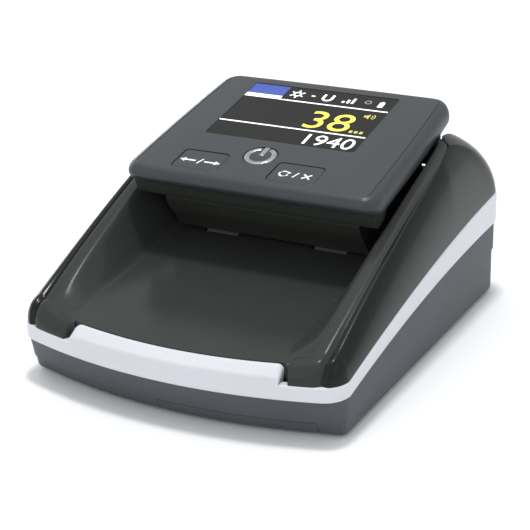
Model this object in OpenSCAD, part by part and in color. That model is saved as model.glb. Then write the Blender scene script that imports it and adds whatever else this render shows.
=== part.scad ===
// Desktop banknote tester: a low wedge body with an open sloping tray,
// and a slim display head hinged over the feed slot.
// X right, -Y front (tray side), +Z up. Millimetres. Origin on the table.

/* [Body] */
// width over the trim band
body_w = 133; // [131:0.5:136]
// length over the trim band
body_l = 168; // [166:0.5:172]
// shell wall thickness
wall = 2.2; // [1.8:0.1:2.4]
// height of the rubber feet below the base
foot_h = 1.5; // [1:0.1:2]

/* [Trim band] */
// lower edge of the band at the front
band_lo = 16.4; // [15:0.1:17]
// upper edge of the band at the front
band_hi = 22.3; // [21:0.1:23]
// left end of the raised lip
tab_l = -39.4; // [-40:0.1:-38.5]
// right end of the raised lip
tab_r = 45.4; // [44:0.1:45.4]

/* [Head] */
// tilt of the head's top face
head_tilt = 11.7; // [10.5:0.1:12]
// display window width
disp_w = 65; // [58:0.5:66]
// display window depth
disp_h = 45; // [40:0.5:46]
// side key width
key_w = 19.6; // [15:0.2:20]
// side key depth
key_h = 13.6; // [10:0.2:14]
// power button radius
power_r = 6.8; // [5.5:0.1:7.2]

/* [Feed] */
// feed shaft radius
shaft_r = 2; // [1.5:0.05:2.2]
// length of one feed roller
roller_l = 14; // [8:0.5:16]
// radial running clearance
run = 0.05; // [0.02:0.01:0.08]

/* [Hidden] */

// colours shared by several pieces
base_grey = [0.22,0.23,0.24];
key_grey = [0.28,0.29,0.3];
black = [0.1,0.1,0.1];
steel = [0.75,0.76,0.78];
screw_steel = [0.7,0.7,0.72];
gear_white = [0.9,0.9,0.86];
board_green = [0.1,0.38,0.2];
glass_grey = [0.35,0.36,0.4,0.6];

// ---------- plan outline of the body ----------
half_w = body_w/2;
half_l = body_l/2;
base_z = foot_h;                   // underside of the base
// the front is an arc whose foremost point is y = -half_l
front_bow = 11.41;                 // how far the arc falls back at the full width
front_r = (half_w*half_w + front_bow*front_bow)/(2*front_bow);
corner_r = 10;                     // front corners
rear_r = 11;                       // rear corners
corner_y = (-half_l + front_r)
  - sqrt((front_r-corner_r)*(front_r-corner_r) - (half_w-corner_r)*(half_w-corner_r));
front_a = asin((half_w-corner_r)/(front_r-corner_r));  // where the arc meets the corner
function front_y(x) = -half_l + front_r - sqrt(front_r*front_r - x*x);

// right half of the outline, front centre to rear centre: [x, y, normal x, normal y]
half_plan = concat(
  [for (i=[0:8]) let(a=front_a*i/9)
    [front_r*sin(a), -half_l+front_r-front_r*cos(a), sin(a), -cos(a)]],
  [for (i=[0:7]) let(a=-(90-front_a)*(1-i/8))
    [half_w-corner_r+corner_r*cos(a), corner_y+corner_r*sin(a), cos(a), sin(a)]],
  [for (i=[0:15]) [half_w, corner_y+(half_l-rear_r-corner_y)*i/16, 1, 0]],
  [for (i=[0:8]) let(a=90*i/8)
    [half_w-rear_r+rear_r*cos(a), half_l-rear_r+rear_r*sin(a), cos(a), sin(a)]],
  [for (i=[1:4]) [(half_w-rear_r)*(1-i/4), half_l, 0, 1]]);
// adds the left half, from point `last` back to point 1
function mirrored(pts, last) =
  concat(pts, [for (i=[last:-1:1]) let(q=pts[i]) [-q[0], q[1], -q[2], q[3]]]);
// full outline with the straight rear edge as one run
shell_half = [for (q=half_plan) if (q[0] > half_w-rear_r-0.01 || q[1] < 0) q];
shell_plan = mirrored(shell_half, len(shell_half)-1);

// heights along the side, as functions of y
function along(y) = max(0, min(1, (y-corner_y)/(half_l-corner_y)));
level = function(y) 0;
band_lo_z = function(y) band_lo + 15*(1-pow(1-along(y),2.1));
band_hi_z = function(y) band_hi + 22.2*(1-pow(1-along(y),1.65));
step_z = function(y) 6.5 + 13.5*along(y);      // step in the base wall
function crest_z(y) = let(t=y+70, u=max(0,t)) 30 + 0.48*t - 0.00085*u*u;

// ---------- frames ----------
// note path: a plane rising to the rear; s runs up the plane, h out of it
path_slope = 0.11;
path_z0 = 36.5;
path_a = atan(path_slope);
function path_z(y) = path_z0 + path_slope*y;
function path_point(s,h) = [s*cos(path_a)-h*sin(path_a), path_z0+s*sin(path_a)+h*cos(path_a)];
module path() translate([0,0,path_z0]) rotate([path_a,0,0]) children();

// head frame: v along the top face to the rear, w out of it
head_y = -17.95;
head_z = 69;
module head() translate([0,head_y,head_z]) rotate([head_tilt,0,0]) children();
function head_point(v,w) = [head_y+v*cos(head_tilt)-w*sin(head_tilt),
  head_z+v*sin(head_tilt)+w*cos(head_tilt)];
function head_points(pts) = [for (p=pts) head_point(p[0],p[1])];

hinge = [52,75];                   // hinge axis [y, z]

// ---------- helpers ----------
// outline moved in by a different amount at the side, front and rear
function inset(pts,side,front,rear,height,dz) = [for (q=pts)
  [q[0]-q[2]*side, q[1]-q[3]*(q[3]<0?front:rear), height(q[1])+dz]];
function ring(side,front,rear,height,dz=0) = inset(shell_plan,side,front,rear,height,dz);
function reversed(list) = [for (i=[len(list)-1:-1:0]) list[i]];

// cap over a symmetric outline, as rungs from right to left
function rungs(n) = concat([[0,1,n-1]], [for (i=[1:floor(n/2)-1]) [i,i+1,n-1-i,n-i]]);
// cap over a thin folded section, as rungs from outer to inner side
function folds(n) = [for (i=[0:n/2-2]) [i,i+1,n-2-i,n-1-i]];

function flat(rings) = [for (r=rings) for (p=r) p];
function quad(a,b,c,d) = [[a,b,c],[a,c,d]];
function strip(n,m,wrap=false) = [for (i=[0:(wrap?m-1:m-2)]) for (j=[0:n-1])
  let(k=(j+1)%n, next=((i+1)%m)*n) each quad(i*n+j, next+j, next+k, i*n+k)];
// closed skin over a stack of rings, with a cap at each end
module skin(rings, cap=undef) {
  n = len(rings[0]);
  m = len(rings);
  first = is_undef(cap) ? [[for (j=[0:n-1]) j]] : cap;
  last = [for (f=first) [for (j=[len(f)-1:-1:0]) (m-1)*n+f[j]]];
  polyhedron(flat(rings), concat(strip(n,m), first, last), convexity=6);
}
// skin whose last ring joins the first
module skin_ring(rings)
  polyhedron(flat(rings), strip(len(rings[0]),len(rings),true), convexity=6);

module slab(x0,x1,pts)             // pts are [y, z]
  translate([x0,0,0]) rotate([90,0,90]) linear_extrude(x1-x0) polygon(pts);
module rod(x0,x1,at,r,fn=48)       // along X, axis at [y, z]
  translate([x0,at[0],at[1]]) rotate([0,90,0]) cylinder(h=x1-x0,r=r,$fn=fn);
module box(x0,x1,y0,y1,z0,z1) translate([x0,y0,z0]) cube([x1-x0,y1-y0,z1-z0]);
module pillar(z0,z1,r,fn=32) translate([0,0,z0]) cylinder(h=z1-z0,r=r,$fn=fn);
module place(points) for (p=points) translate([p[0],p[1],0]) children();

// the same shapes from x = a to b on the right (s = 1), mirrored on the left (s = -1)
function start(s,a,b) = s>0 ? a : -b;
function end(s,a,b) = s>0 ? b : -a;
module side_slab(s,a,b,pts) slab(start(s,a,b), end(s,a,b), pts);
module side_rod(s,a,b,at,r,fn=48) rod(start(s,a,b), end(s,a,b), at, r, fn);
module side_box(s,a,b,y0,y1,z0,z1) box(start(s,a,b), end(s,a,b), y0, y1, z0, z1);

// cross-slotted screw, head upward
module screw(head_z,shank_l,shank_r,head_r) difference() {
  union() {
    pillar(head_z-shank_l, head_z, shank_r);
    pillar(head_z, head_z+1.6, head_r);
  }
  for (a=[0,90]) rotate(a) translate([-head_r*0.6,-0.3,head_z+0.8]) cube([head_r*1.2,0.6,2]);
}

// ---------- base ----------
in = 1.5+wall;                     // inset of the inner faces
base_lower = [ring(2.1,8.0,2.1,level,base_z), ring(1.4,7.4,1.4,level,base_z+0.8),
  ring(1.4,4.9,1.4,step_z)];
module base_outer() skin(concat(base_lower, [ring(1.4,1.4,1.4,level,60)]),
  rungs(len(shell_plan)));
module base_tub() skin(concat(base_lower, [
    ring(0.8,4.3,0.8,step_z,0.6),
    ring(0.8,0.7,0.8,band_lo_z,-0.04),
    ring(in,0.9+wall,in,band_lo_z,-0.04),
    ring(in,6.0+wall,in,step_z),
    ring(in,7.2+wall,in,level,base_z+2)]),
  rungs(len(shell_plan)));
door_gap = 0.2;
// interior of the tub, raised by the door gap
module base_inner() skin([
    ring(in,7.2+wall,in,level,base_z+2+door_gap),
    ring(in,6.0+wall,in,step_z,door_gap),
    ring(in,in,in,level,60)],
  rungs(len(shell_plan)));

// battery door edges: left, right, rear
door_x0 = -3.6;
door_x1 = 55.6;
door_y1 = -22;
door_cut_y = -95;                  // ahead of the body
// right-hand housing posts: x, y, top, outer reach of the web, underside of the web
housing_posts = [[59.3,-42,36,1.9,28.8], [56.3,69.4,54,4.1,45.6]];
housing_screw_at = [for (s=[-1,1]) for (p=housing_posts) [s*p[0],p[1]]];
chassis_screw_at = [for (x=[-40,40]) for (y=[2,56.6]) [x,y]];
main_board_at = [[-52,-60],[-14,-60],[-52,-16],[-14,-16]];
ports_board_at = [[-37,70],[-10,70]];
board_at = concat(main_board_at, ports_board_at);
chassis_z = 5;                     // underside of the chassis floor
board_z = 8;                       // underside of the base boards
board_top = board_z+1.6;

module base_shell() color(base_grey) difference() {
  union() {
    base_tub();
    place(housing_screw_at) pillar(base_z+1, base_z+7, 3, 40);
    place(chassis_screw_at) pillar(base_z+1, chassis_z, 3.4, 40);
    place(board_at) pillar(base_z+1, board_z, 2.6);
    // battery bay walls
    box(-6.2,-4.7,-70,-8,base_z+1.5,15);
    box(56,57.5,-66,-8,base_z+1.5,15);
    box(-6.2,57.5,-9.5,-8,base_z+1.5,15);
  }
  // door opening
  box(door_x0-door_gap, door_x1+door_gap, door_cut_y, door_y1+door_gap, base_z-1, 6.5);
  place(housing_screw_at) {
    pillar(0,20,1.6);
    pillar(0,base_z+1.9,3.1);
  }
  place(chassis_screw_at) pillar(2.4,8.4,1.2);
  place(board_at) pillar(4,10,0.9,24);
  feet(base_z-1);
  // rear port openings
  box(-32.2,-22.8,78,90,9.2,20.4);
  box(-18.2,-9.8,78,90,9.4,13.8);
  // gap in the bay wall beside the screw post
  box(55.5,58.4,-45.3,-38.7,base_z+7.2,16);
  // slots under the motor
  for (i=[0:5]) box(10+i*5,12.5+i*5,18,30,0,6);
}

// four round-ended pads, from a given bottom up into their seats in the base
foot_r = 2.2;
foot_reach = 5;                    // pad centre to end centre
module feet(bottom) for (x=[-60.2,60.2]) for (y=[-56,56]) translate([x,y,0]) {
  box(-foot_r,foot_r,-foot_reach,foot_reach,bottom,base_z+0.6);
  place([[0,-foot_reach],[0,foot_reach]]) pillar(bottom,base_z+0.6,foot_r);
}
module rubber_feet() color(black) feet(0);

module battery_door() color(base_grey) difference() {
  intersection() {
    base_outer();
    box(door_x0,door_x1,door_cut_y,door_y1,base_z-1,6.3);
  }
  // hollow, leaving a rear rim
  intersection() {
    base_inner();
    box(-20,80,door_cut_y,door_y1-1.6,0,20);
  }
  // notch in the rear rim
  box(-1.4,54.2,door_y1-2,door_y1+1,4.1,10);
  // grooves in the underside
  for (i=[0:5]) box(18+i*4,20+i*4,-72.5,-60,base_z-1,base_z+0.5);
}

// ---------- trim band ----------
module trim_band() color([0.86,0.87,0.91]) union() {
  back = 0.9+wall;
  skin_ring([
    ring(0.9,0.9,0.9,band_lo_z), ring(0.2,0.2,0.2,band_lo_z,0.35), ring(0,0,0,band_lo_z,1),
    ring(0,0,0,band_hi_z,-1), ring(0.15,0.15,0.15,band_hi_z,-0.35), ring(0.8,0.8,0.8,band_hi_z),
    ring(back,back,back,band_hi_z), ring(back,back,back,band_lo_z)]);
  // front lip below the tray mouth: sections of [y behind the outline, z]
  skin([for (i=[0:16])
    let(x=tab_l+(tab_r-tab_l)*i/16, y=front_y(x), top=path_z(y+5)-0.25)
    [for (p=[[5.2,top-2],[5.2,top],[3.9,top],[3.1,top-0.5],[0.55,25.1],[0.3,24.6],
      [0.3,band_hi-1.5],[2.6,band_hi-1.5]]) [x, y+p[0], p[1]]]]);
}

// ---------- top housing ----------
// each outline point rises over a rounded profile to a crest point
function front_crest(q) = let(k=max(0,1+q[3]/cos(front_a)), x=q[0]-7.2*k, y=q[1]+6*(1-k))
  [x, y, rail_z(x,y)+0.2+0.2*k];
function rear_crest(q) = let(w1=min(1,(q[1]-30)/(half_l-rear_r-30)),
    w2=(q[3]>0.001 ? asin(min(1,q[3]))/90 : 0))
  q[3] > 0.999 ? [q[0]*52/(half_w-rear_r), 48, 75] :
  [half_w-7.2-1.3*w1-6*w2, 30+12*w1+6*w2, crest_z(30+12*w1)+2.2*w2];
function crest(q) =
  q[3] < -0.001 ? front_crest(q) :
  q[3] > 0.001 || q[1] > 30 ? rear_crest(q) :
  [half_w-7.2, q[1], crest_z(q[1])];
// superellipse of power n from the outline point p at height z to the crest point c
function rise(p,c,z,n) = [for (i=[0:9]) let(a=90*i/9, k=pow(cos(a),2/n), s=pow(sin(a),2/n))
  [c[0]+(p[0]-c[0])*k, c[1]+(p[1]-c[1])*k, z+(c[2]-z)*s]];
// outer profile up, inner profile back down
function housing_section(q) = let(c=crest(q), z=band_hi_z(q[1]),
    n=(q[1]>30 ? 2.1-0.5*min(1,(q[1]-30)/35) : 2.1),
    thick=(q[3]>0.3 ? 1.3*wall : wall), inner=0.5+thick)
  concat(rise([q[0]-q[2]*0.5, q[1]-q[3]*0.5], c, z, n),
    reversed(rise([q[0]-q[2]*inner, q[1]-q[3]*inner], [c[0],c[1],c[2]-thick], z, n)));
// sections from x on the front edge round to the rear centre
function housing_run(x) = [for (q=concat([[x, front_y(x), 0, -1]],
  [for (q=half_plan) if (q[0] > x+0.5 || q[1] > 0) q])) housing_section(q)];
module housing_skin() {
  right = housing_run(tab_r+0.3);
  mirror_run = housing_run(0.3-tab_l);
  left = [for (i=[len(mirror_run)-2:-1:0]) [for (p=mirror_run[i]) [-p[0],p[1],p[2]]]];
  skin([for (s=concat(right,left)) reversed(s)], folds(len(right[0])));
}
module top_housing() color([0.09,0.1,0.1]) difference() {
  union() {
    difference() {
      housing_skin();
      // well for the head and the hinge
      box(-53.1,53.1,-20,68.5,50,100);
      for (x=[-47.5,47.5]) box(x-1.9,x+1.9,45.8,61,45,100);
    }
    // screw posts with webs to the shell
    for (s=[-1,1]) for (p=housing_posts) {
      place([[s*p[0],p[1]]]) pillar(base_z+7.3, p[2], 3, 40);
      place([[s*(p[0]+3),p[1]]]) side_box(s,-2.6,p[3],-1,1,p[4],p[2]);
    }
  }
  place(housing_screw_at) pillar(base_z,base_z+20,1.25);
  // note exit at the rear
  box(-45.5,45.5,60,95,40,51);
}

// ---------- tray ----------
// 0 to 1 ramp with a straight middle and parabolic ends
function ramp(t) = let(u=max(0,min(1,t)), a=0.24, k=2*a*(1-a))
  u<a ? u*u/k : u>1-a ? 1-(1-u)*(1-u)/k : (u-a/2)/(1-a);
// flat floor between two rails that roll up to the crest seam
function rail_z(x,y) = let(floor_z=path_z(y))
  floor_z + max(0,crest_z(y)-0.4-floor_z)*ramp((abs(x)-42.5)/12);
tray_x = concat([for (i=[0:11]) -59.1+i*1.55], [-39.6,-38.6,-20,0,20,40],
  [for (i=[11:-1:0]) 59.1-i*1.55]);
tray_t = [for (i=[0:17]) i/17];    // 0 at the front edge, 1 at y = 45
// the front edge sits further back beside the lip
function tray_y(x,t) = let(f=front_y(x)+(x>45 || x<-39.5 ? 6.25 : 5.4)) f+(45-f)*t;
// draws the rear part of the rails inward
function pulled(x,y) = let(q=abs(x)*(1-0.03*ramp((y-22)/12)), e=max(0,q-52))
  sign(x)*(q-e*0.1*max(0,y-40));
function front_drop(x,t) = (x>43.5 || x<-39.5) && t < 0.02 ? 0.4 : 0;
module tray_rails() {
  nx = len(tray_x);
  ny = len(tray_t);
  o = nx*ny;                       // first point of the underside
  top = [for (t=tray_t) for (x=tray_x) let(y=tray_y(x,t))
    [pulled(x,y), y, rail_z(x,y)-front_drop(x,t)]];
  bottom = [for (t=tray_t) for (x=tray_x) let(y=tray_y(x,t))
    [pulled(x,y), y, rail_z(abs(x)-1.8,y)-2.2]];
  faces = [for (i=[0:ny-2]) for (j=[0:nx-2]) let(a=i*nx+j, c=a+nx)
    each concat(quad(a,c,c+1,a+1), quad(o+a,o+a+1,o+c+1,o+c))];
  front_rear = [for (j=[0:nx-2]) let(a=(ny-1)*nx+j)
    each concat(quad(j,j+1,o+j+1,o+j), quad(a,o+a,o+a+1,a+1))];
  sides = [for (i=[0:ny-2]) let(a=i*nx, b=a+nx, c=b-1, d=c+nx)
    each concat(quad(a,o+a,o+b,b), quad(c,d,o+d,o+c))];
  polyhedron(concat(top,bottom), concat(faces,front_rear,sides), convexity=8);
}

// stations up the note path, and heights from it
front_s = 10;
idler_s = 28;
rear_s = 46;
shaft_h = -6.6;
pinch_h = 3.95;
roller_x = 17;                     // inner end of each roller
module roller_windows(reach,h0,h1) for (s=[-1,1]) for (p=[front_s,rear_s])
  side_box(s,roller_x-1,roller_x+roller_l+1,p-reach,p+reach,h0,h1);

module tray_insert() color([0.1,0.11,0.11]) difference() {
  union() {
    tray_rails();
    path() {
      box(-45,45,39,80.8,-2,0);
      for (s=[-1,1]) side_box(s,38.4,39.9,22,34,-3.8,-1.9);
    }
  }
  path() {
    roller_windows(5.5,-5,2);
    // sensor opening with a rebate for the glass
    box(-38,38,20,36,-6,3);
    box(-41,41,18,38,-1.2,3);
  }
}

// ---------- running gear ----------
feed_r = 7;
pinch_r = 3.5;
pinch_shaft_r = 1.5;
stub_r = 1.5;
motor_shaft_r = 1;
gear_module = 0.8;
feed_teeth = 20;
idler_small = 25;                  // teeth of the two idler steps
idler_big = 45;
pinion_teeth = 12;
motor_a = -50;                     // direction from idler to motor
// axes as [y, z]
front_at = path_point(front_s,shaft_h);
idler_at = path_point(idler_s,shaft_h);
rear_at = path_point(rear_s,shaft_h);
motor_at = idler_at + gear_module*(idler_big+pinion_teeth)/2*[cos(motor_a),sin(motor_a)];
motor_screw_at = [for (e=[-6,6]) motor_at+[e,0]];
// X stations
wall_in = 46;                      // chassis side walls
wall_out = 49;
gear_x0 = 50;                      // feed gears and small idler step
gear_x1 = 53.4;
flat_x = 49.8;                     // start of the drive flat on the shafts

// involute teeth
pressure_a = 20;
backlash = 0.16;
function involute(a) = tan(a)*180/PI - a;
// half angle of a tooth at radius r
function tooth_a(z,r) = let(pitch_r=gear_module*z/2, base_r=pitch_r*cos(pressure_a))
  90/z - backlash/2/pitch_r*180/PI + involute(pressure_a) - involute(acos(min(1,base_r/r)));
function gear_points(z) = let(pitch_r=gear_module*z/2, tip=pitch_r+0.78*gear_module,
    root=pitch_r-1.15*gear_module, low=max(root+0.05, pitch_r*cos(pressure_a)),
    radii=[for (i=[0:4]) low+(tip-low)*i/4], foot_a=tooth_a(z,low)+0.3)
  [for (k=[0:z-1]) let(c=360*k/z) each [for (q=concat(
      [[root,c-foot_a]], [for (r=radii) [r,c-tooth_a(z,r)]],
      [for (r=reversed(radii)) [r,c+tooth_a(z,r)]], [[root,c+foot_a]]))
    [q[0]*cos(q[1]), q[0]*sin(q[1])]]];
module gear(x0,x1,at,teeth,phase) translate([x0,at[0],at[1]]) rotate([90,0,90]) rotate(phase)
  linear_extrude(x1-x0) polygon(gear_points(teeth));
// phase of gear b, lying at angle `a` from gear a, that keeps the pair in mesh
function mesh_phase(a,teeth_a,phase_a,teeth_b) =
  a+180-(0.5-(a-phase_a)*teeth_a/360)*360/teeth_b;
idler_phase = mesh_phase(path_a,feed_teeth,0,idler_small);
rear_phase = mesh_phase(path_a,idler_small,idler_phase,feed_teeth);
pinion_phase = mesh_phase(motor_a,idler_big,0,pinion_teeth);

module shaft_flat(at) translate([flat_x,at[0]-5,at[1]+shaft_r-0.4]) cube([5,10,2]);
module feed_shaft(at) difference() {
  rod(-52,54,at,shaft_r);
  shaft_flat(at);
}
module roller_pair(at,r,bore_r,fn,bore_fn) for (s=[-1,1]) difference() {
  side_rod(s,roller_x,roller_x+roller_l,at,r,fn);
  rod(-60,60,at,bore_r,bore_fn);
}
module feed_gear(at,phase) difference() {
  union() {
    gear(gear_x0,gear_x1,at,feed_teeth,phase);
    rod(49.3,gear_x0,at,4);
  }
  // D-shaped bore, round at its inner end
  difference() {
    rod(40,60,at,shaft_r);
    shaft_flat(at);
  }
  rod(49,flat_x,at,shaft_r);
}
module feed_shaft_front() color(steel) feed_shaft(front_at);
module feed_shaft_rear() color(steel) feed_shaft(rear_at);
module feed_rollers_front() color([0.45,0.45,0.46]) roller_pair(front_at,feed_r,shaft_r,64,48);
module feed_rollers_rear() color([0.45,0.45,0.46]) roller_pair(rear_at,feed_r,shaft_r,64,48);
module feed_gear_front() color(gear_white) feed_gear(front_at,0);
module feed_gear_rear() color(gear_white) feed_gear(rear_at,rear_phase);

module idler_stub() color(steel) union() {
  rod(wall_in,58.4,idler_at,stub_r);
  rod(58.4,59,idler_at,2.4);
}
module idler_gear() color(gear_white) difference() {
  union() {
    gear(gear_x0,gear_x1,idler_at,idler_small,idler_phase);
    gear(54.6,57.8,idler_at,idler_big,0);
    rod(53.3,54.7,idler_at,7);
    rod(49.4,50.1,idler_at,4);
  }
  rod(40,60,idler_at,stub_r+run);
  // six holes in the big step
  for (k=[0:5]) rod(54,59,idler_at+12.2*[cos(60*k),sin(60*k)],3.2,32);
}
module shaft_bushings() color([0.78,0.62,0.3])
  for (at=[front_at,rear_at]) for (s=[-1,1]) difference() {
    union() {
      side_rod(s,wall_in,wall_out,at,3.4);
      side_rod(s,45.2,wall_in,at,4.4);
    }
    rod(-60,60,at,shaft_r+run);
  }

module motor_can() color([0.72,0.73,0.75]) difference() {
  union() {
    // round can with flattened top and bottom
    intersection() {
      rod(20.5,45.8,motor_at,10,64);
      box(20,46,motor_at[0]-12,motor_at[0]+12,motor_at[1]-7.5,motor_at[1]+7.5);
    }
    rod(17.5,20.5,motor_at,3.2);
  }
  rod(18.5,60,motor_at,motor_shaft_r+run);
  for (at=motor_screw_at) rod(43,60,at,0.8,24);
}
module motor_shaft() color([0.8,0.8,0.82]) rod(18.7,58.2,motor_at,motor_shaft_r,32);
module motor_pinion() color([0.82,0.66,0.35]) difference() {
  gear(54.3,58.1,motor_at,pinion_teeth,pinion_phase);
  rod(50,60,motor_at,motor_shaft_r,32);
}
module motor_screws() color(screw_steel) for (at=motor_screw_at) difference() {
  union() {
    rod(43.2,wall_out,at,0.8,24);
    rod(wall_out,50.2,at,1.6,24);
  }
  translate([49.7,at[0]-1.2,at[1]-0.2]) cube([1,2.4,0.4]);
}

module encoder_disc() color([0.25,0.25,0.27]) difference() {
  union() {
    rod(-51.2,-50.6,rear_at,8,64);
    rod(-50.6,-49.3,rear_at,3.4);
  }
  rod(-60,-40,rear_at,shaft_r);
  for (k=[0:11]) translate([-52,rear_at[0],rear_at[1]]) rotate([30*k,0,0])
    box(0,3,-0.7,0.7,4.8,7);
}
// fork straddling the disc
module encoder_sensor() color([0.12,0.12,0.13]) translate([0,rear_at[0],rear_at[1]])
  difference() {
    box(-53.4,-49.2,-3,3,-12,-4.4);
    box(-51.9,-49.9,-4,4,-9,0);
  }

// ---------- chassis ----------
floor_top = chassis_z+2;
ear_in = 46.2;                     // hinge ears
ear_out = 48.8;
module chassis() color([0.14,0.14,0.15]) difference() {
  union() {
    box(-wall_out,wall_out,-4,60,chassis_z,floor_top);
    for (s=[-1,1]) {
      side_slab(s,wall_in,wall_out,
        [[-4,chassis_z],[60,chassis_z],[60,path_z(60)-2.4],[-4,path_z(-4)-2.4]]);
      // rear posts that carry the hinge ears
      side_box(s,wall_in,ear_out,56.5,60,chassis_z,58);
      side_slab(s,ear_in,ear_out,[[60,47],[60,62],[56.4,70],hinge+[4.4,-1],
        hinge+[-4,1],[47,70],[47,50],[49,47]]);
      side_rod(s,ear_in,ear_out,hinge,4.6);
    }
    // cross wall and shelf above the note path
    box(-ear_out,ear_out,57,60,path_z(60)+1.8,57);
    path() box(-44,44,57,80,1.8,3.8);
    // ledge under the encoder sensor
    box(-53.4,-48.5,rear_at[0]-3,rear_at[0]+3,rear_at[1]-14,rear_at[1]-12);
    // motor cradle
    for (x=[22,38]) box(x,x+4,motor_at[0]-9,motor_at[0]+9,6.5,motor_at[1]-7.5);
    // floor ribs
    for (x=[-30,-10]) box(x,x+2,2,54,6.5,14);
  }
  for (at=[front_at,rear_at]) rod(-60,60,at,3.4);
  rod(46,60,idler_at,stub_r);
  rod(45,60,motor_at,3.2);
  for (at=motor_screw_at) rod(45,60,at,0.9,24);
  for (s=[-1,1]) side_rod(s,46,60,hinge,1.5);
  place(chassis_screw_at) pillar(4,8,1.5);
}
module chassis_screws() color(screw_steel) place(chassis_screw_at) screw(floor_top,4.4,1.2,2.6);
module housing_screws() color(screw_steel)
  place(housing_screw_at) mirror([0,0,1]) screw(-base_z-1.9,12,1.25,2.8);
module hinge_pins() color(steel) for (s=[-1,1]) union() {
  side_rod(s,43.4,ear_out,hinge,1.5);
  side_rod(s,ear_out,49.2,hinge,2.6);
}

// ---------- electronics in the base ----------
// three cells side by side, lying along Y
cell_x = 8.2;
cell_pitch = 18.2;
cell_y = -39.9;
cell_z = 13.2;
cell_l = 54;
module battery_pack() color([0.2,0.32,0.55]) difference() {
  union() {
    for (i=[0:2]) translate([cell_x+i*cell_pitch,cell_y,cell_z]) rotate([90,0,0])
      cylinder(h=cell_l,r=8.8,center=true,$fn=48);
    box(cell_x,cell_x+2*cell_pitch,cell_y-cell_l/2,cell_y+cell_l/2,cell_z-8.6,cell_z+8.6);
  }
  box(-10,70,-90,0,22,40);
}
module battery_contacts() color([0.8,0.8,0.8]) for (x=[8,26,44]) union() {
  box(x-2,x+2,-10.1,-9.7,6,20);
  box(x-1.2,x+1.2,-12.8,-9.9,12,13);
}
module board(x0,x1,y0,y1,holes) difference() {
  box(x0,x1,y0,y1,board_z,board_top);
  place(holes) pillar(7,11,1.1,24);
}
module main_pcb() color(board_green) board(-56,-8.5,-66,-10,main_board_at);
module ports_board() color(board_green) board(-42,-5,64,79.8,ports_board_at);
module pcb_chips() color([0.08,0.08,0.09]) union() {
  box(-40,-26,-46,-32,board_top,11.2);
  box(-22,-14,-50,-40,board_top,11);
  box(-50,-44,-40,-30,board_top,11);
  box(-34,-18,-24,-18,board_top,15);
  place([[-48,-56],[-48,-50]]) pillar(board_top,board_top+9,2.8);
}
module buzzer() color(black) translate([-24,-58,board_top]) difference() {
  pillar(0,7,5.5,48);
  pillar(5,8,1.2,24);
}
module dc_jack() color(black) difference() {
  box(-32,-23,69,82.2,board_top,20.2);
  // socket with a centre pin
  translate([-27.5,74,14.9]) rotate([-90,0,0]) difference() {
    pillar(0,12,3.1,40);
    pillar(0,7,0.7,24);
  }
}
module usb_port() color(steel) difference() {
  box(-18,-10,73,82.2,board_top,13.6);
  box(-17.5,-10.5,75,84,10.1,13.1);
}
module lower_sensor_board() color(board_green) path() union() {
  box(-40,40,19,37,-5.2,-3.8);
  for (i=[-4:4]) box(i*8.5-2,i*8.5+2,25,31,-3.8,-2.4);
}
module lower_glass() color(glass_grey) path() box(-40.8,40.8,18.2,37.8,-1.2,-0.05);

// ---------- head ----------
head_l = 83.1;
head_half_w = 53.9;                // at the front
head_taper = 2.3;                  // lost on each side by the rear corners
head_front_r = 6.6;
head_rear_r = 7.9;
front_x = head_half_w-head_front_r;              // corner centres
rear_x = head_half_w-head_taper-head_rear_r;
rear_v = head_l-head_rear_r;
// right half of the head's outline: [x, v, normal x, normal v]
head_half = concat(
  [for (x=[0,14,28,41]) [x, -0.4*(1-pow(x/front_x,2)), 0, -1]],
  [for (i=[0:6]) let(a=-90*(1-i/6))
    [front_x+head_front_r*cos(a), head_front_r+head_front_r*sin(a), cos(a), sin(a)]],
  [for (v=[20,35,50,65]) [head_half_w-head_taper*pow(v/rear_v,2), v, 1, 0]],
  [for (i=[0:6]) let(a=90*i/6)
    [rear_x+head_rear_r*cos(a), rear_v+head_rear_r*sin(a), cos(a), sin(a)]],
  [for (x=[27,13,0]) [x, head_l+0.3*(1-pow(x/rear_x,2)), 0, 1]]);
head_plan = mirrored(head_half, len(head_half)-2);
// skin over rows of [side inset, front inset, rear inset, w]
module head_skin(rows) skin([for (r=rows) inset(head_plan,r[0],r[1],r[2],level,r[3])]);
module head_solid() head_skin([
  [0.5,2.6,0.9,-8], [0.1,1.1,0.3,-6.8], [0,-0.5,0,-5.2], [0.2,-1.2,0.1,-3.6],
  [0.8,-0.7,0.5,-2], [1.8,0.3,1.2,-0.9], [3.2,1.5,2.2,-0.22], [5,2.8,3.4,0]]);
module head_cavity() head_skin([
  [2.6,5.6,2.8,-9], [2.2,2.2,2.2,-5.6], [2.8,2,2.8,-3.2], [5.2,3.6,4.4,-2.2]]);

// centres as [x, v]
disp_at = [-1.5,54];
key_left_at = [-24.5,11];
key_right_at = [16.5,11];
power_at = [-3,20];
// screw posts: x, v, foot of the shell post, foot of the cover post, screw seat
head_posts = [for (s=[-1,1]) for (q=[[8,-7.9,-14.4,-12],[62,-7.2,-12,-11.2]])
  concat([s*44.3], q)];
split_w = -8.05;                   // top of the bottom cover

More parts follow.
